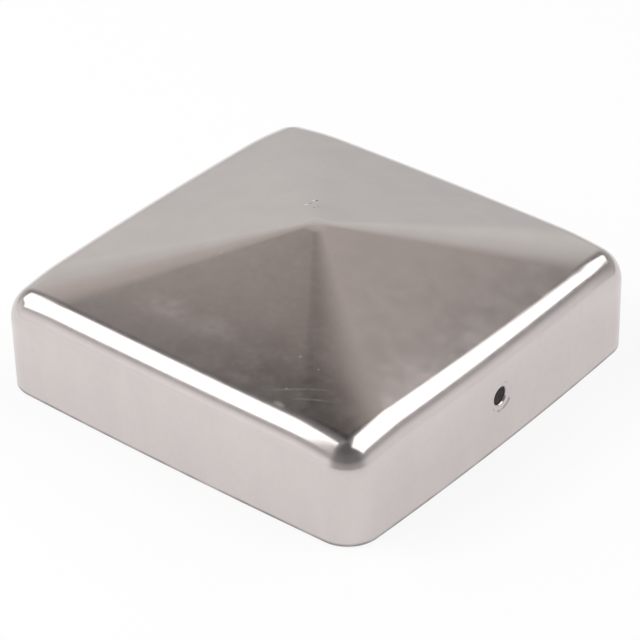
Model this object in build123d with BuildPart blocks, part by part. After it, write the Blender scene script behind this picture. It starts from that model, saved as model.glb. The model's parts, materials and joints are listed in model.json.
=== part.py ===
"""Pyramid post cap: one piece of stainless sheet, deep drawn, with a screw hole in two opposite sides.

Millimetres, +Z up. The origin is at the middle of the rim's plane, under the point of the roof.
The screw holes are in the +X and -X sides.
"""
import os
from math import atan2, cos, tan

from build123d import *

# Post and sheet
POST_WIDTH = 90.0         # side of the square post that the cap goes over
POST_GAP = 0.5            # clearance between the post and the skirt, on each side
SHEET = 0.8               # thickness of the sheet

# Pressed form, measured on its outside
SKIRT_HEIGHT = 22.1       # rim to the line where skirt and roof would meet with no rounding
ROOF_RISE = 11.9          # that line to the point where the four ridges would meet
CORNER_RADIUS = 7.4       # upright corners of the skirt
SHOULDER_RADIUS = 7.1     # rounded edge between skirt and roof
RIDGE_RADIUS = 13.0       # rounding of the roof's corners in plan, at the shoulder
APEX_RADIUS = 9.0         # rounding of the point
APEX_FLAT = 0.4           # half the width of the level spot left at the very point
HOLED_SIDE_BOW = 1.2      # how far the two sides with holes bulge at their middle
PLAIN_SIDE_BOW = 0.6      # how far the other two sides bulge
ROOF_CROWN = 1.0          # how far a level line across a roof face bulges, at the shoulder
RIM_RADIUS = 0.3          # outer edge of the rim, smoothed after trimming
CORNER_MARGIN = 0.2       # the shoulder's rounding stays under that of the corners by this much

# Screw holes, each in a shallow pressed dimple
HOLE_DIAMETER = 3.8
HOLE_DROP = 10.1          # centre of the hole below the line where skirt and roof would meet
HOLE_OFFSET = 0.9         # centre of the hole from the middle of its side, towards -Y
DIMPLE_LAND = 1.0         # flat ring round the hole, at the bottom of the dimple
DIMPLE_SLOPE = 0.5        # width of the dimple's sloping edge
DIMPLE_DEPTH = 0.3
DIMPLE_BLEND = 0.5        # rounding of the sloping edge, where it starts and ends
DIMPLE_LIP = 0.5          # how much wider the dimple is on the inside, round the sheet's thickness

half_width = POST_WIDTH / 2 + POST_GAP + SHEET
roof_slope = atan2(ROOF_RISE, half_width)
shoulder_radius = min(SHOULDER_RADIUS, CORNER_RADIUS - CORNER_MARGIN)
rim_radius = min(RIM_RADIUS, SHEET / 2)


def bowed_square(level, half, bows, corner_radius):
    """Square with bulging sides and rounded corners. bows are those of the X and the Y sides."""
    bow_x, bow_y = bows
    with BuildSketch(Plane.XY.offset(level)) as square:
        with BuildLine():
            ThreePointArc((half, -half), (half + bow_x, 0), (half, half))
            ThreePointArc((half, half), (0, half + bow_y), (-half, half))
            ThreePointArc((-half, half), (-half - bow_x, 0), (-half, -half))
            ThreePointArc((-half, -half), (0, -half - bow_y), (half, -half))
        make_face()
        fillet(square.vertices(), corner_radius)
    return square.sketch


def roof_form(inset):
    """Pyramid under the roof's faces, carried down to the rim's level, with a rounded point."""
    apex_height = SKIRT_HEIGHT + ROOF_RISE - inset / cos(roof_slope)
    spread = apex_height / ROOF_RISE
    apex_reach = APEX_RADIUS * tan(roof_slope / 2)
    flat = apex_reach + APEX_FLAT
    flat_height = apex_height - flat * tan(roof_slope)
    base_half = half_width * spread
    base_crown = ROOF_CROWN * spread
    with BuildPart() as roof:
        base = bowed_square(0, base_half, (base_crown, base_crown), RIDGE_RADIUS * spread)
        with BuildSketch(Plane.XY.offset(flat_height)) as top:
            RectangleRounded(2 * flat, 2 * flat, apex_reach + APEX_FLAT / 2)
        loft([base, top.sketch], ruled=True)
        fillet(roof.faces().sort_by(Axis.Z)[-1].edges(), APEX_RADIUS)
    return roof.part


def pressed_form(inset):
    """Solid inside the pressed surface, with that surface moved in by inset."""
    roof = roof_form(inset)
    with BuildPart() as form:
        bows = (HOLED_SIDE_BOW, PLAIN_SIDE_BOW)
        add(bowed_square(0, half_width - inset, bows, CORNER_RADIUS - inset))
        extrude(amount=SKIRT_HEIGHT + ROOF_RISE)
        add(roof, mode=Mode.INTERSECT)
        skirt = form.faces().filter_by(GeomType.CYLINDER)
        fillet(skirt.edges().group_by(Axis.Z)[-1], shoulder_radius - inset)
    return form.part


die = pressed_form(0)
punch = pressed_form(SHEET)

# Post cap: the sheet between the two forms, with the dimples, the screw holes and the smoothed rim
side_reach = half_width + HOLED_SIDE_BOW
hole_height = SKIRT_HEIGHT - HOLE_DROP
hole_radius = HOLE_DIAMETER / 2
dimple_radius = hole_radius + DIMPLE_LAND + DIMPLE_SLOPE
boss_radius = dimple_radius + DIMPLE_LIP

with BuildPart() as post_cap:
    add(die)
    add(punch, mode=Mode.SUBTRACT)
    for side in (1, -1):
        outside = Plane(origin=(side * side_reach, -HOLE_OFFSET, hole_height), z_dir=(side, 0, 0))
        # Each cone has the dimple's radius half way up, where it crosses the side
        with Locations(outside.offset(-SHEET)):
            Cone(boss_radius - DIMPLE_SLOPE, boss_radius + DIMPLE_SLOPE, 2 * DIMPLE_DEPTH)
        with Locations(outside):
            Cone(dimple_radius - DIMPLE_SLOPE, dimple_radius + DIMPLE_SLOPE, 2 * DIMPLE_DEPTH,
                 mode=Mode.SUBTRACT)
            Hole(hole_radius, depth=SHEET + 2 * DIMPLE_DEPTH)
    dimple_edges = post_cap.faces().filter_by(GeomType.CONE).edges().filter_by(GeomType.LINE, reverse=True)
    fillet(dimple_edges, DIMPLE_BLEND)
    fillet(post_cap.faces().sort_by(Axis.Z)[0].outer_wire().edges(), rim_radius)

post_cap.part.label = "post_cap"
os.makedirs("parts", exist_ok=True)
export_step(post_cap.part, "parts/post_cap.step")
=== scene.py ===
"""Looks of the pyramid post cap: pressed bright stainless sheet on a white studio floor.

The cap's own sizes are in millimetres and angles in degrees. Camera, lamps and floor are in metres.
"""
import json
from math import cos, radians, sin

import bpy
import numpy as np
from mathutils import Matrix, Quaternion, Vector


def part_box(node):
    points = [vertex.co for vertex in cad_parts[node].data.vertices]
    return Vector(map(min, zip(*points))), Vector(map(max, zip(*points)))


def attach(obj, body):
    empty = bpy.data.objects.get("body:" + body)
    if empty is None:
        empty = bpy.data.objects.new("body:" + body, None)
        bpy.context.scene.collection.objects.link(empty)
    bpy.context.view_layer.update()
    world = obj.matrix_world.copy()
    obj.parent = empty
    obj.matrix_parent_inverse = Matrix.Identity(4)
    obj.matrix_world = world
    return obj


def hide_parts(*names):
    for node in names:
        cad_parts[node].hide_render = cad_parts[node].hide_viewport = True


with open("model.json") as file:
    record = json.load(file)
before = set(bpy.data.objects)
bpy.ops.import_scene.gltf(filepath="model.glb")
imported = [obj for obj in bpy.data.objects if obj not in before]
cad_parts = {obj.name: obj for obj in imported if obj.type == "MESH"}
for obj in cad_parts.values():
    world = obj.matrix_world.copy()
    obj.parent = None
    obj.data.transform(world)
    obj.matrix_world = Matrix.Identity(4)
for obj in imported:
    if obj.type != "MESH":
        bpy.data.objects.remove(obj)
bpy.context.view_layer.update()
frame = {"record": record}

MM = 0.001                # metres in a millimetre

# Form of the cap, measured on its outside
SHEET = 0.8               # thickness of the sheet
SKIRT_HEIGHT = 22.1       # rim to the line where skirt and roof would meet with no rounding
ROOF_RISE = 11.9          # that line to the point where the four ridges would meet
CORNER_RADIUS = 7.4       # upright corners of the skirt
SHOULDER_RADIUS = 7.1     # rounded edge between skirt and roof
RIDGE_RADIUS = 13.0       # rounding of the roof's corners in plan, at the shoulder
APEX_RADIUS = 9.0         # rounding of the point
APEX_FLAT = 0.475         # half the width of the level spot at the very point
HOLED_SIDE_BOW = 1.2      # how far the two sides with holes bulge at their middle
PLAIN_SIDE_BOW = 0.6      # how far the other two sides bulge
ROOF_CROWN = 1.0          # how far a level line across a roof face bulges, at the shoulder
EASE_LENGTH = 20.0        # foot of the roof, over which it steepens a little towards the shoulder
EASE_ANGLE = 1.3          # by how much it has steepened at the shoulder
STRAIGHT = 1e-6           # bulge of a side that is straight
RIM_RADIUS = 0.3          # outer edge of the rim
BURR_RADIUS = 0.15        # inner edge of the rim
DIMPLE_LAND = 1.0         # flat ring round a screw hole, at the bottom of its dimple
DIMPLE_SLOPE = 0.4        # width of the dimple's sloping edge
DIMPLE_DEPTH = 0.3
DIMPLE_BLEND = 0.2        # rounding of the sloping edge, where it starts and ends
DIMPLE_LIP = 0.5          # how much wider the dimple is on the inside
HOLE_MOUTH = 0.6          # rounding of the screw hole's outer edge, drawn in by the punch
HOLE_BURR = 0.1           # rounding of its inner edge

# How finely the form is divided
WINDOW_PITCH = 0.65       # between the columns that pass a screw hole
WINDOW_COLUMNS = 10       # columns of that pitch on each side of the middle
WINDOW_HALF_HEIGHT = 4.25  # from the hole's middle to the last rows beside it
WINDOW_ROWS = 12
FOOT_ROWS = 5             # between the rim and those rows
SIDE_COLUMNS = 26         # in half of a side with a hole, past the hole
CORNER_COLUMNS = 28       # round a corner
PLAIN_COLUMNS = 32        # in half of a plain side
RIM_STEPS = 4
SHOULDER_STEPS = 18
ROOF_STEPS = 20
APEX_STEPS = 10
ARC_STEPS = 4             # in each rounded bend of a dimple
PLACE_SAMPLES = 301       # places along an outline, for a first guess of the nearest one
NEWTON_ROUNDS = 30        # rounds that make the guess exact
NEWTON_STEP = 1e-6        # step that gives the slopes for them

# Steel. A noise is its scale, its detail and the part of its range that is used
STEEL_DEEP = (0.635, 0.58, 0.566, 1)
STEEL_PALE = (0.659, 0.604, 0.588, 1)
CLOUD_NOISE = (110.0, 3, (0.25, 0.75))
CLOUD_STRETCH = (1, 1, 0.3)          # clouds are drawn out upright, as the sheet was
ROUGHNESS = (0.15, 0.19)
ROUGHNESS_NOISE = (240.0, 4, (0.3, 0.7))
HAZE = 0.022                         # share of the metal that the thickest mottling hides
HAZE_NOISE = (190.0, 3, (0.35, 0.75))
DUST = 0.035                         # the same for a finer, patchy dust
DUST_NOISE = (700.0, 3, (0.4, 0.8))
BROKEN = (0.3, 1)                    # least and most that is left of a smudge where it is broken up
BREAK_NOISE = (520.0, 6, (0.25, 0.75))
RELIEF = 1e-5                        # height of the slight waves in the sheet, in metres
WAVE_SCALE = 55.0
WAVE_DETAIL = 1
GRAIN_RELIEF = 0.05                  # height of the grain as a share of that
GRAIN_SCALE = 1500.0
GRAIN_DETAIL = 2
RIM_SHADE_COLOUR = (0.2, 0.185, 0.18, 1)  # painted shade along the foot of the rim, over the cut edge of the sheet: the dark contact with the floor that the rounded rim reflects
RIM_SHADE_HEIGHT = (1.0, 0.25)            # where the painted shade starts and where it is darkest, in height over the floor
RIM_SHADE_SHARE = (0.45, 1)               # how much of the painted shade shows where it is faintest and where it is strongest
RIM_SHADE_NOISE = (130.0, 3, (0.3, 0.7))

# Pale marks: centre in mm, turn about +Z, half sizes in mm, and how much of the metal they hide
SMUDGES = (((-11.5, -33.0, 25.6), 2, (9.0, 4.5, 4.0), 0.13),
           ((0.0, -32.6, 25.8), 4, (9.0, 4.0, 4.0), 0.1),
           ((14.0, -40.3, 23.8), 10, (5.0, 2.0, 3.0), 0.08),
           ((24.9, -41.7, 23.4), 0, (1.8, 0.8, 2.0), 0.25),
           ((25.5, -37.2, 24.4), 29, (9.0, 0.4, 4.0), 0.12),
           ((29.8, -37.7, 24.0), 26, (5.0, 0.4, 4.0), 0.12),
           ((39.8, -4.5, 24.0), 0, (1.8, 7.0, 4.0), 0.09))
SPECKS_AND_GLINTS = (((-11.93, -15.97, 29.85), 0, (0.3, 0.3, 1.0), 0.25),
          ((-9.89, -35.12, 25.13), 0, (0.25, 0.25, 1.0), 0.15),
          ((-6.27, -35.34, 25.09), 0, (0.25, 0.25, 1.0), 0.15),
          ((20.84, -30.39, 26.26), 0, (0.3, 0.3, 1.0), 0.3),
          ((25.96, -31.16, 25.82), 0, (0.3, 0.3, 1.0), 0.25),
          ((23.59, -37.93, 24.36), 0, (0.3, 0.3, 1.0), 0.25),
          # The next two are painted highlights: the bright glints of small scratches beside the point
          ((-8.19, 8.92, 31.6), 45, (0.5, 0.35, 1.0), 1.0),
          ((-7.98, 6.42, 31.93), 88, (0.75, 0.35, 1.0), 0.9),
          # The last three are painted glints of small nicks in the rim
          ((-15.3, -46.8, 0.5), 0, (0.6, 1.0, 0.4), 0.8),
          ((8.3, -46.9, 1.1), 0, (0.5, 1.0, 0.35), 0.5),
          ((39.6, -46.5, 0.6), 0, (0.8, 1.0, 0.4), 0.6))
MARK_CORE = 0.2                      # part of a mark's half size over which it keeps its full strength

# Painted shade in small pits beside the point, given in the same way, with how dark the painted shade is
PAINTED_PIT_SHADES = (((-7.68, 9.36, 31.57), 45, (0.45, 0.4, 1.0), 0.9),
        ((-7.61, 7.3, 31.9), 70, (0.5, 0.3, 1.0), 0.6),
        ((-5.5, 6.0, 32.36), 45, (0.35, 0.35, 1.0), 0.5),
        ((-5.25, 7.0, 32.2), 45, (0.35, 0.35, 1.0), 0.5))
# Colour of the painted shade in the pits
PIT_SHADE_COLOUR = (0.12, 0.1, 0.09, 1)

# Colour sockets of a Mix node, by number, because its other sockets have the same names
MIX_INPUTS = (0, 6, 7)
MIX_OUTPUT = 2

# Camera, at the photograph's angle
CAMERA_AZIMUTH = 40.18
CAMERA_ELEVATION = 33.91
CAMERA_ROLL = 1.335
CAMERA_PAN = 0.026
CAMERA_TILT = 0.067
CAMERA_DISTANCE = 0.603
AIM_HEIGHT = 0.011                   # the camera looks at this height over the middle of the cap's rim
SENSOR = 36.0                        # width of the sensor, in millimetres
FOCAL_PIXELS = 2930.6                # focal length, in pixels of the photograph
IMAGE_PIXELS = 640
CLIP_START = 0.01

# Floor. A glow is the share of plain white that the camera sees, and the share that the steel shows
FLOOR_SIZE = 6.0
FLOOR_COLOUR = (0.9, 0.9, 0.9, 1)
FLOOR_ROUGHNESS = 0.3
FLOOR_GLOW = (0.85, 0.56)
INSIDE_GLOW = (0.02, 0.02)           # the same inside the cap, where it is dark
INSIDE_MARGIN = 0.3                  # the dark part keeps this share of a corner's radius off the skirt

# Room, as stops of an angle, a brightness and for some a tint
PLAIN = (1, 1, 1)
WARM = (1.075, 0.995, 0.935)
COOL = (0.993, 1.004, 0.984)
ROOM_ROUND = ((-180, 0.4), (-145, 0.45), (-112, 1.05), (-65, 0.85), (-42, 0.52), (40, 0.46),
              (65, 0.48), (90, 0.9), (115, 0.82), (145, 0.42), (180, 0.4))
ROOM_RISE = ((0, 1), (8, 1.05), (16, 0.9), (24, 0.52), (35, 0.48), (60, 0.32))
BACKDROP_TILT = 9                    # the backdrop's level lines drop to one side by this angle
BACKDROP_ROUND = ((-34, 0), (-22, 1), (17.5, 1), (34, 0))
BACKDROP_RISE = ((0, 0.6, COOL), (19, 0.78, COOL), (29, 0.71, COOL), (39, 0.55, WARM),
                 (44, 0.53, WARM), (48, 0.48, WARM), (53.3, 0.42, WARM), (57.8, 0.07, WARM),
                 (70, 0.07, PLAIN))

# Lamps: name, azimuth, elevation, distance, roll, size and brightness
SOFTBOXES = (("left_softbox", -88, 47, 1.2, 26, (0.72, 0.78), 1.8),
             ("left_low_softbox", -67.5, 39.4, 1.2, 28, (0.84, 0.46), 1.8),
             ("right_softbox", 85, 54, 1.2, -11, (1.18, 0.86), 2),
             ("right_low_softbox", 56, 32, 1.2, 0, (0.52, 0.24), 2))
FILL_LAMP = ("left_fill", -100, 45, 0.6, 0, (0.5, 0.5), 1.7)  # doesn't show in the steel

_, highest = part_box("post_cap")
half_width = highest.x / MM - HOLED_SIDE_BOW
ease = radians(EASE_ANGLE)
sink = ease * EASE_LENGTH / 2  # how far the roof's foot has dropped at the shoulder
roof_slope = np.arctan2(ROOF_RISE - sink, half_width)
mounts = {mount["name"]: mount for mount in frame["record"]["mounts"]}
hole_radius = mounts["screw_hole_right"]["dims"]["r_mm"]
_, hole_y, hole_z = np.array(mounts["screw_hole_right"]["pos_m"]) / MM


# Outlines and roof

def quarter_arcs(half, bow_x, bow_y, corner):
    """Arcs of a bowed square, from the middle of its +X side to the middle of its +Y side.

    The rows hold centre x, centre y, radius, first angle and last angle."""
    radius_x = (half**2 + bow_x**2) / (2 * bow_x)
    radius_y = (half**2 + bow_y**2) / (2 * bow_y)
    centre_x = np.array([half + bow_x - radius_x, 0.0])
    centre_y = np.array([0.0, half + bow_y - radius_y])
    # The corner's circle touches both sides from inside
    reach_x = radius_x - corner
    reach_y = radius_y - corner
    between = centre_y - centre_x
    apart = np.hypot(*between)
    near = (reach_x**2 - reach_y**2 + apart**2) / (2 * apart)
    aside = np.sqrt(reach_x**2 - near**2)
    ahead = between / apart
    centre = centre_x + near * ahead + aside * np.array([-ahead[1], ahead[0]])
    first = np.arctan2(*(centre - centre_x)[::-1])
    last = np.arctan2(*(centre - centre_y)[::-1])
    return np.array([
        (*centre_x, radius_x, 0.0, first),
        (*centre, corner, first, last),
        (*centre_y, radius_y, last, np.pi / 2),
    ])


def along(arcs, place):
    """Points, outward directions and rates of change at places along a quarter outline, one unit an arc."""
    which = np.clip(place.astype(int), 0, len(arcs) - 1)
    x, y, radius, first, last = arcs[which].T
    angle = first + (last - first) * (place - which)
    outward = np.stack([np.cos(angle), np.sin(angle)], 1)
    onward = np.stack([-np.sin(angle), np.cos(angle)], 1)
    points = np.stack([x, y], 1) + radius[:, None] * outward
    return points, outward, (radius * (last - first))[:, None] * onward


def unit(vectors):
    """The same directions with length one."""
    return vectors / np.linalg.norm(vectors, axis=-1, keepdims=True)


class Roof:
    """Ruled surface from a large bowed square at the rim's level up to the small level spot at the point."""

    def __init__(self, inset):
        apex_height = SKIRT_HEIGHT + ROOF_RISE - inset / np.cos(roof_slope)
        spread = apex_height / (ROOF_RISE - sink)
        apex_reach = APEX_RADIUS * np.tan(roof_slope / 2)
        flat = apex_reach + APEX_FLAT
        crown = ROOF_CROWN * spread
        self.height = apex_height - flat * np.tan(roof_slope)
        self.point_start = 1 - APEX_RADIUS * (1 - np.cos(roof_slope)) / self.height
        self.base = quarter_arcs(half_width * spread, crown, crown, RIDGE_RADIUS * spread)
        self.top = quarter_arcs(flat, STRAIGHT, STRAIGHT, apex_reach + APEX_FLAT / 2)

    def at(self, place, rise):
        """Points, outward directions and upward lines at places of the outline and shares of the height."""
        low, _, low_rate = along(self.base, place)
        high, _, high_rate = along(self.top, place)
        rise = rise[:, None]
        points = np.hstack([low + rise * (high - low), rise * self.height])
        onward = np.hstack([low_rate + rise * (high_rate - low_rate), 0 * rise])
        upward = np.hstack([high - low, 0 * rise + self.height])
        return points, unit(np.cross(onward, upward)), unit(upward)

    def foot(self, place, rise):
        """Points and outward directions of the eased roof, where it meets the shoulder."""
        points, outward, upward = self.at(place, rise)
        return points - sink * outward, cos(ease) * outward - sin(ease) * upward

    def plan(self, place, rise, depth):
        """Plan of the points that lie under the roof's foot by depth."""
        points, outward = self.foot(place, rise)
        return (points - depth * outward)[:, :2]

    def over(self, spots, depth):
        """Place and rise where the roof, moved in by depth, passes over spots of the plan."""
        every_place = np.linspace(0, len(self.base), PLACE_SAMPLES)
        x, y = along(self.base, every_place)[0].T
        place = np.interp(np.arctan2(*spots.T[::-1]), np.arctan2(y, x), every_place)
        rise = np.full(len(spots), SKIRT_HEIGHT / self.height)
        step = np.where(place > len(self.base) / 2, -NEWTON_STEP, NEWTON_STEP)
        for _ in range(NEWTON_ROUNDS):
            here = self.plan(place, rise, depth)
            by_place = (self.plan(place + step, rise, depth) - here) / step[:, None]
            by_rise = (self.plan(place, rise + NEWTON_STEP, depth) - here) / NEWTON_STEP
            slopes = np.stack([by_place, by_rise], 2)
            change = np.linalg.solve(slopes, (spots - here)[:, :, None])[:, :, 0]
            place = np.clip(place + change[:, 0], 0, len(self.base))
            rise = rise + change[:, 1]
        return place, rise


# Surface of the sheet

def whole_ring(quarter):
    """Ring of points or directions from those of its +X +Y quarter, without repeating shared columns."""
    flips = np.array([(1, 1, 1), (-1, 1, 1), (-1, -1, 1), (1, -1, 1)])
    parts = [(quarter * flip)[::-1] if turn % 2 else quarter * flip for turn, flip in enumerate(flips)]
    return np.concatenate([part[:-1] for part in parts])


def column_places(wall):
    """Places along a quarter of the skirt's outline, evenly pitched where the screw hole passes."""
    _, _, radius, _, end = wall[0]
    window = np.arcsin(WINDOW_PITCH * np.arange(WINDOW_COLUMNS) / radius) / end
    window_end = np.arcsin(WINDOW_PITCH * WINDOW_COLUMNS / radius) / end
    side = np.linspace(window_end, 1, SIDE_COLUMNS, endpoint=False)
    corner = np.linspace(1, 2, CORNER_COLUMNS, endpoint=False)
    return np.concatenate([window, side, corner, np.linspace(2, 3, PLAIN_COLUMNS + 1)])


def apex_rows(ring, upward, height):
    """Rows that round off the point, from a ring on the roof to just short of the top.

    They lie on Hermite curves, which leave the roof in its own direction and are level at the top."""
    top = np.array([0.0, 0.0, height])
    reach = np.linalg.norm(top - ring, axis=1)[:, None]
    inward = -unit(ring * np.array([1, 1, 0]))
    rows = []
    for share in np.linspace(0, 1, APEX_STEPS + 1)[1:-1]:
        square, cube = share**2, share**3
        points = (2 * cube - 3 * square + 1) * ring + (cube - 2 * square + share) * reach * upward
        points = points + (3 * square - 2 * cube) * top + (cube - square) * reach * inward
        rates = 6 * (square - share) * (ring - top) + (3 * square - 4 * share + 1) * reach * upward
        rates = rates + (3 * square - 2 * share) * reach * inward
        onward = np.roll(points, -1, 0) - np.roll(points, 1, 0)
        rows.append((points, unit(np.cross(onward, rates))))
    return rows


def skin_rows(inset, edge_radius, side):
    """Rings of points and directions from the rim to the point, and the point itself.

    side is 1 for the outside and -1 for the inside."""
    outline = quarter_arcs(half_width, HOLED_SIDE_BOW, PLAIN_SIDE_BOW, CORNER_RADIUS)
    wall = quarter_arcs(half_width - inset, HOLED_SIDE_BOW, PLAIN_SIDE_BOW, CORNER_RADIUS - inset)
    roof = Roof(inset)
    columns = column_places(outline)
    foot, level, _ = along(wall, columns)
    ball = SHOULDER_RADIUS - inset
    place, rise = roof.over(foot - ball * level, ball)
    contact, outward = roof.foot(place, rise)
    start = (contact - ball * outward)[:, 2:]
    zero = 0 * start
    level3 = np.hstack([level, zero])
    up = np.array([0.0, 0.0, 1.0])
    rows = []
    for turn in np.linspace(np.pi / 2, 0, RIM_STEPS + 1):
        direction = cos(turn) * level3 - side * sin(turn) * up
        middle = np.hstack([foot - side * edge_radius * level, zero + edge_radius])
        rows.append((middle + side * edge_radius * direction, direction))
    window_foot = hole_z - WINDOW_HALF_HEIGHT
    window_top = hole_z + WINDOW_HALF_HEIGHT
    heights = np.linspace(edge_radius, window_foot, FOOT_ROWS)[1:-1]
    heights = np.append(heights, np.linspace(window_foot, window_top, WINDOW_ROWS + 1))
    for share in heights / start[0]:
        rows.append((np.hstack([foot, share * start]), level3))
    bend = np.arccos(np.sum(level3 * outward, 1))[:, None]
    for share in np.linspace(0, 1, SHOULDER_STEPS + 1):
        direction = (np.sin((1 - share) * bend) * level3 + np.sin(share * bend) * outward) / np.sin(bend)
        rows.append((np.hstack([foot - ball * level, start]) + ball * direction, direction))
    even = np.linspace(0, len(wall), len(columns))
    for share in np.linspace(0, 1, ROOF_STEPS + 1)[1:]:
        row_place = place + share * (even - place)
        row_rise = rise + share * (roof.point_start - rise)
        points, direction, upward = roof.at(row_place, row_rise)
        left = np.clip(1 - np.linalg.norm(points - contact, axis=1) / EASE_LENGTH, 0, 1)[:, None]
        lean = ease * left
        points = points - sink * left**2 * direction
        rows.append((points, np.cos(lean) * direction - np.sin(lean) * upward))
    rings = [(whole_ring(points), whole_ring(direction)) for points, direction in rows]
    rings = rings + apex_rows(rings[-1][0], whole_ring(upward), roof.height)
    return [(points, side * direction) for points, direction in rings], np.array([0, 0, roof.height])


# Screw holes

def bent_profile(corners):
    """Points and directions along straight runs joined by arcs. A corner is (radius, depth, rounding).

    Both are in the plane of the hole's axis: away from the axis, and into the sheet. The directions point out
    of the steel, to the left of the way along the profile."""
    points, directions = [], []
    for before, (*corner, rounding), after in zip(corners, corners[1:], corners[2:]):
        corner = np.array(corner)
        arriving = unit(corner - before[:2])
        leaving = unit(np.array(after[:2]) - corner)
        turn = np.arctan2(arriving[0] * leaving[1] - arriving[1] * leaving[0], arriving @ leaving)
        start = corner - abs(rounding * np.tan(turn / 2)) * arriving
        first = np.arctan2(*arriving[::-1])
        for share in np.linspace(0, 1, ARC_STEPS + 1):
            angle = first + share * turn
            offset = np.array([np.sin(angle) - np.sin(first), np.cos(first) - np.cos(angle)])
            points.append(start + np.sign(turn) * rounding * offset)
            directions.append((-np.sin(angle), np.cos(angle)))
    return np.array(points), np.array(directions)


def hole_profile():
    """Profile of a dimple and its hole, from the outside of the skirt round to its inside."""
    bottom = hole_radius + DIMPLE_LAND
    brim = bottom + DIMPLE_SLOPE
    boss_bottom = bottom + DIMPLE_LIP
    boss_brim = brim + DIMPLE_LIP
    inner = SHEET + DIMPLE_DEPTH
    return bent_profile([
        (boss_brim, 0, 0),
        (brim, 0, DIMPLE_BLEND),
        (bottom, DIMPLE_DEPTH, DIMPLE_BLEND),
        (hole_radius, DIMPLE_DEPTH, HOLE_MOUTH),
        (hole_radius, inner, HOLE_BURR),
        (boss_bottom, inner, DIMPLE_BLEND),
        (boss_brim, SHEET, DIMPLE_BLEND),
        (boss_brim + DIMPLE_LIP, SHEET, 0),
    ])


def hole_rings(frame_points, side):
    """Rings of points and directions through a screw hole, opposite the points of the window's frame."""
    _, _, radius, _, _ = quarter_arcs(half_width, HOLED_SIDE_BOW, PLAIN_SIDE_BOW, CORNER_RADIUS)[0]
    angle = np.arctan2(frame_points[:, 2] - hole_z, side * (frame_points[:, 1] - hole_y))
    rings = []
    for (reach, depth), (aside, inward) in zip(*hole_profile()):
        y = hole_y + side * reach * np.cos(angle)
        x = half_width + HOLED_SIDE_BOW - radius + np.sqrt(radius**2 - y**2) - depth
        points = np.stack([side * x, y, hole_z + reach * np.sin(angle)], 1)
        outward = np.stack([side * np.sqrt(1 - (y / radius)**2), y / radius, 0 * y], 1)
        radial = np.stack([0 * y, side * np.cos(angle), np.sin(angle)], 1)
        rings.append((points, unit(aside * radial - inward * outward)))
    return rings


# Mesh

class Sheet:
    """Points, directions and faces of the mesh in the making."""

    def __init__(self):
        self.points = []
        self.directions = []
        self.faces = []

    def ring(self, points, directions):
        """Adds points and gives their numbers."""
        first = len(self.points)
        self.points.extend(points)
        self.directions.extend(directions)
        return np.arange(first, len(self.points))

    def strip(self, low, high, leave_out=()):
        """Four-sided faces between two rings, without some of their columns."""
        kept = [column for column in range(len(low)) if column not in leave_out]
        for column in kept:
            onward = (column + 1) % len(low)
            self.faces.append((low[column], low[onward], high[onward], high[column]))

    def fan(self, ring, tip, side):
        """Three-sided faces from a ring to its tip."""
        for here, onward in zip(ring, np.roll(ring, -1)):
            self.faces.append((here, onward, tip) if side > 0 else (onward, here, tip))

    def mesh(self, name):
        """Smooth mesh that takes its shading from the directions."""
        mesh = bpy.data.meshes.new(name)
        mesh.from_pydata(np.array(self.points) * MM, [], self.faces)
        mesh.polygons.foreach_set("use_smooth", np.ones(len(mesh.polygons), bool))
        mesh.normals_split_custom_set_from_vertices(np.array(self.directions))
        mesh.validate()
        return mesh


def window_columns(count):
    """Columns of the two windows that the screw holes are in, at +X and -X."""
    shift = round(hole_y / WINDOW_PITCH)
    span = WINDOW_COLUMNS - abs(shift)
    right = [column % count for column in range(shift - span, shift + span + 1)]
    left = [count // 2 - shift + column for column in range(-span, span + 1)]
    return {1: right, -1: left}


def frame_of(rings, columns, first_row):
    """Numbers round the frame of a window, anticlockwise seen from outside."""
    last_row = first_row + WINDOW_ROWS
    foot = [rings[first_row][column] for column in columns[:-1]]
    right = [rings[row][columns[-1]] for row in range(first_row, last_row)]
    top = [rings[last_row][column] for column in columns[:0:-1]]
    left = [rings[row][columns[0]] for row in range(last_row, first_row, -1)]
    return np.array(foot + right + top + left)


def pressed_sheet():
    """Mesh of the whole cap: both skins, the rim between them and the two screw holes."""
    sheet = Sheet()
    frames = {}
    feet = {}
    first_row = RIM_STEPS + FOOT_ROWS - 1
    for side, inset, edge in ((1, 0, RIM_RADIUS), (-1, SHEET, BURR_RADIUS)):
        rows, point = skin_rows(inset, edge, side)
        rings = [sheet.ring(*row) for row in rows]
        windows = window_columns(len(rings[0]))
        gaps = {column for columns in windows.values() for column in columns[:-1]}
        for row, (low, high) in enumerate(zip(rings, rings[1:])):
            leave_out = gaps if first_row <= row < first_row + WINDOW_ROWS else ()
            sheet.strip(*(low, high)[::side], leave_out)
        sheet.fan(rings[-1], sheet.ring([point], [(0, 0, side)])[0], side)
        feet[side] = rings[0]
        frames[side] = {end: frame_of(rings, columns, first_row) for end, columns in windows.items()}
    sheet.strip(feet[-1], feet[1])
    for end in (1, -1):
        frame_points = np.array(sheet.points)[frames[1][end]]
        rings = [sheet.ring(*row) for row in hole_rings(frame_points, end)]
        for outer, inner in zip([frames[1][end]] + rings, rings + [frames[-1][end]]):
            sheet.strip(outer, inner)
    return sheet.mesh("post_cap_sheet")


# Material

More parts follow.
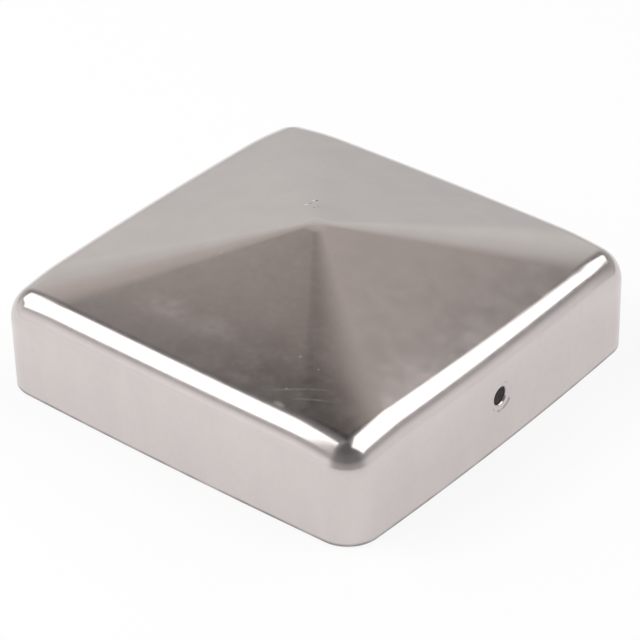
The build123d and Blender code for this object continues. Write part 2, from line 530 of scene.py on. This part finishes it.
class Graph:
    """Nodes of a material or of the world."""

    def __init__(self, tree):
        self.tree = tree

    def add(self, kind, inputs, **settings):
        """New node. An input is a plain value, or the socket that it takes its value from."""
        node = self.tree.nodes.new("ShaderNode" + kind)
        for name, value in settings.items():
            setattr(node, name, value)
        for key, value in inputs.items():
            if isinstance(value, bpy.types.NodeSocket):
                self.tree.links.new(value, node.inputs[key])
            else:
                node.inputs[key].default_value = value
        return node

    def math(self, operation, *values):
        """Result of a sum on one to three values."""
        return self.add("Math", dict(enumerate(values)), operation=operation).outputs["Value"]

    def dot(self, vector, axis):
        """Share of a vector along an axis."""
        return self.add("VectorMath", {0: vector, 1: axis}, operation="DOT_PRODUCT").outputs["Value"]

    def noise(self, place, scale, detail):
        """Even noise from 0 to 1, about half on average."""
        return self.add("TexNoise", {"Vector": place, "Scale": scale, "Detail": detail}).outputs["Fac"]

    def mixed(self, share, first, second):
        """Colour between two colours."""
        inputs = dict(zip(MIX_INPUTS, (share, first, second)))
        return self.add("Mix", inputs, data_type="RGBA").outputs[MIX_OUTPUT]

    def spread(self, value, source, target, kind="SMOOTHSTEP"):
        """A value taken from one range to another, and kept inside it."""
        limits = {"From Min": source[0], "From Max": source[1], "To Min": target[0], "To Max": target[1]}
        return self.add("MapRange", {"Value": value} | limits, interpolation_type=kind).outputs["Result"]

    def patches(self, place, noise, target):
        """Soft patches that go from one value of the target to the other."""
        scale, detail, used = noise
        return self.spread(self.noise(place, scale, detail), used, target)

    def mark(self, place, centre, turn, half):
        """1 in the middle of an oval on the cap and 0 outside it. Its centre and half sizes are in mm."""
        oval = {
            "Vector": place,
            "Location": [MM * value for value in centre],
            "Rotation": (0, 0, radians(turn)),
            "Scale": [MM * value for value in half],
        }
        offset = self.add("Mapping", oval, vector_type="TEXTURE").outputs["Vector"]
        distance = self.add("VectorMath", {0: offset}, operation="LENGTH").outputs["Value"]
        return self.spread(distance, (1, MARK_CORE), (0, 1))


def steel():
    """Bright stainless sheet with faint clouds, a thin haze of handling, smudges and specks of dust, painted
    shade along the rim, and painted shade and highlights of small scratches and nicks.
    """
    material = bpy.data.materials.new("stainless_sheet")
    material.use_nodes = True
    graph = Graph(material.node_tree)
    place = graph.add("TexCoord", {}).outputs["Object"]
    drawn = graph.add("Mapping", {"Vector": place, "Scale": CLOUD_STRETCH}).outputs["Vector"]
    colour = graph.mixed(graph.patches(drawn, CLOUD_NOISE, (0, 1)), STEEL_DEEP, STEEL_PALE)
    # Painted shade along the foot of the rim, darkest at the floor and uneven along it
    rim_shade = graph.spread(graph.dot(place, (0, 0, 1)), [MM * value for value in RIM_SHADE_HEIGHT], (0, 1))
    rim_shade_unevenness = graph.patches(place, RIM_SHADE_NOISE, RIM_SHADE_SHARE)
    colour = graph.mixed(graph.math("MULTIPLY", rim_shade, rim_shade_unevenness), colour, RIM_SHADE_COLOUR)
    # Painted shade in the pits of the small scratches beside the point
    for centre, turn, half, depth in PAINTED_PIT_SHADES:
        pit_shade = graph.math("MULTIPLY", graph.mark(place, centre, turn, half), depth)
        colour = graph.mixed(pit_shade, colour, PIT_SHADE_COLOUR)

    haze = graph.patches(place, HAZE_NOISE, (0, HAZE))
    dust = graph.patches(place, DUST_NOISE, (0, DUST))
    film_and_glints = graph.math("ADD", haze, dust)
    broken = graph.patches(place, BREAK_NOISE, BROKEN)
    for centre, turn, half, hidden in SMUDGES:
        strength = graph.math("MULTIPLY", broken, hidden)
        film_and_glints = graph.math("MULTIPLY_ADD", graph.mark(place, centre, turn, half), strength, film_and_glints)
    # Dust specks, and painted highlights where scratches and nicks catch the light
    for centre, turn, half, hidden in SPECKS_AND_GLINTS:
        film_and_glints = graph.math("MULTIPLY_ADD", graph.mark(place, centre, turn, half), hidden, film_and_glints)

    waves = graph.noise(place, WAVE_SCALE, WAVE_DETAIL)
    grain = graph.noise(place, GRAIN_SCALE, GRAIN_DETAIL)
    height = graph.math("MULTIPLY_ADD", grain, GRAIN_RELIEF, waves)
    bump = graph.add("Bump", {"Height": height, "Distance": RELIEF, "Strength": 1})

    shader = material.node_tree.nodes["Principled BSDF"]
    links = material.node_tree.links
    links.new(colour, shader.inputs["Base Color"])
    links.new(graph.math("SUBTRACT", 1, film_and_glints), shader.inputs["Metallic"])
    links.new(graph.patches(place, ROUGHNESS_NOISE, ROUGHNESS), shader.inputs["Roughness"])
    links.new(bump.outputs["Normal"], shader.inputs["Normal"])
    return material


cap = bpy.data.objects.new("pressed_cap", pressed_sheet())
bpy.context.scene.collection.objects.link(cap)
cap.data.materials.append(steel())
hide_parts("post_cap")
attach(cap, "root")


# Studio

def towards(azimuth, elevation):
    """Direction from the cap. Azimuths go clockwise from straight away from the camera."""
    turn, lift = radians(azimuth - CAMERA_AZIMUTH), radians(elevation)
    return Vector((cos(lift) * sin(turn), cos(lift) * cos(turn), sin(lift)))


def floor_material(name, glow):
    """White floor, of which the camera and the steel see a share as plain white, so its shadow is faint."""
    material = bpy.data.materials.new(name)
    material.use_nodes = True
    graph = Graph(material.node_tree)
    graph.tree.nodes.clear()
    satin = graph.add("BsdfPrincipled", {"Base Color": FLOOR_COLOUR, "Roughness": FLOOR_ROUGHNESS})
    path = graph.add("LightPath", {})
    steel_share = graph.math("MULTIPLY", path.outputs["Is Glossy Ray"], glow[1])
    share = graph.math("MULTIPLY_ADD", path.outputs["Is Camera Ray"], glow[0], steel_share)
    plain = graph.add("Emission", {})
    shader = graph.add("MixShader", {0: share, 1: satin.outputs["BSDF"], 2: plain.outputs["Emission"]})
    graph.add("OutputMaterial", {"Surface": shader.outputs["Shader"]})
    return material


def floor():
    """Plain white floor. The part of it inside the cap is dark, because no light gets there."""
    inside = (half_width - SHEET - INSIDE_MARGIN * CORNER_RADIUS) * MM
    places = (-FLOOR_SIZE / 2, -inside, inside, FLOOR_SIZE / 2)
    corners = [(x, y, 0) for y in places for x in places]
    count = len(places)
    starts = [row * count + column for row in range(count - 1) for column in range(count - 1)]
    faces = [(start, start + 1, start + count + 1, start + count) for start in starts]
    mesh = bpy.data.meshes.new("floor")
    mesh.from_pydata(corners, [], faces)
    mesh.materials.append(floor_material("floor", FLOOR_GLOW))
    mesh.materials.append(floor_material("floor_inside", INSIDE_GLOW))
    mesh.polygons[len(faces) // 2].material_index = 1
    piece = bpy.data.objects.new("floor", mesh)
    bpy.context.scene.collection.objects.link(piece)


def softbox(name, azimuth, elevation, distance, roll, size, brightness):
    """Soft lamp in a direction from the cap, turned towards it and rolled by an angle.

    A brightness of 1 shows as plain white."""
    lamp = bpy.data.lights.new(name, "AREA")
    lamp.shape = "RECTANGLE"
    lamp.size, lamp.size_y = size
    lamp.energy = brightness * np.pi * size[0] * size[1]
    piece = bpy.data.objects.new(name, lamp)
    away = towards(azimuth, elevation)
    piece.location = distance * away
    piece.rotation_euler = (away.to_track_quat("Z", "Y") @ Quaternion((0, 0, 1), radians(roll))).to_euler()
    bpy.context.scene.collection.objects.link(piece)
    return piece


def ramp(graph, angle, stops):
    """Brightness by an angle in radians, from stops of (angle, brightness) with or without a tint."""
    low, high = stops[0][0], stops[-1][0]
    place = graph.spread(angle, (radians(low), radians(high)), (0, 1), "LINEAR")
    node = graph.add("ValToRGB", {"Fac": place})
    node.color_ramp.interpolation = "EASE"
    elements = node.color_ramp.elements
    while len(elements) < len(stops):
        elements.new(1)
    for element, (stop, brightness, *tint) in zip(elements, stops):
        element.position = (stop - low) / (high - low)
        element.color = [brightness * share for share in (tint[0] if tint else PLAIN)] + [1]
    return node.outputs["Color"]


def room():
    """World: a dim room, lit round the horizon by the floor, with a pale backdrop opposite the camera."""
    world = bpy.data.worlds.new("room")
    world.use_nodes = True
    graph = Graph(world.node_tree)
    direction = graph.add("TexCoord", {}).outputs["Generated"]
    turn = graph.math("ARCTAN2", graph.dot(direction, towards(90, 0)), graph.dot(direction, towards(0, 0)))
    lift = graph.math("ARCSINE", graph.dot(direction, (0, 0, 1)))
    height = graph.math("ARCSINE", graph.dot(direction, towards(-90, 90 - BACKDROP_TILT)))
    around = graph.math("MULTIPLY", ramp(graph, turn, ROOM_ROUND), ramp(graph, lift, ROOM_RISE))
    colour = graph.mixed(ramp(graph, turn, BACKDROP_ROUND), around, ramp(graph, height, BACKDROP_RISE))
    world.node_tree.links.new(colour, world.node_tree.nodes["Background"].inputs["Color"])
    bpy.context.scene.world = world


def camera():
    """Camera at the photograph's angle."""
    azimuth, elevation = radians(CAMERA_AZIMUTH), radians(CAMERA_ELEVATION)
    back = Vector((sin(azimuth) * cos(elevation), -cos(azimuth) * cos(elevation), sin(elevation)))
    right = Vector((cos(azimuth), sin(azimuth), 0))
    turn = Matrix((right, back.cross(right), back)).transposed()
    for angle, axis in ((CAMERA_ROLL, "Z"), (CAMERA_PAN, "Y"), (CAMERA_TILT, "X")):
        turn = turn @ Matrix.Rotation(-radians(angle), 3, axis)
    data = bpy.data.cameras.new("camera")
    data.sensor_width = SENSOR
    data.lens = FOCAL_PIXELS / IMAGE_PIXELS * SENSOR
    data.clip_start = CLIP_START
    piece = bpy.data.objects.new("camera", data)
    piece.matrix_world = turn.to_4x4()
    piece.location = CAMERA_DISTANCE * back + Vector((0, 0, AIM_HEIGHT))
    bpy.context.scene.collection.objects.link(piece)
    bpy.context.scene.camera = piece


floor()
for lamp in SOFTBOXES:
    softbox(*lamp)
softbox(*FILL_LAMP).visible_glossy = False
room()
camera()
bpy.context.scene.view_settings.view_transform = "Standard"
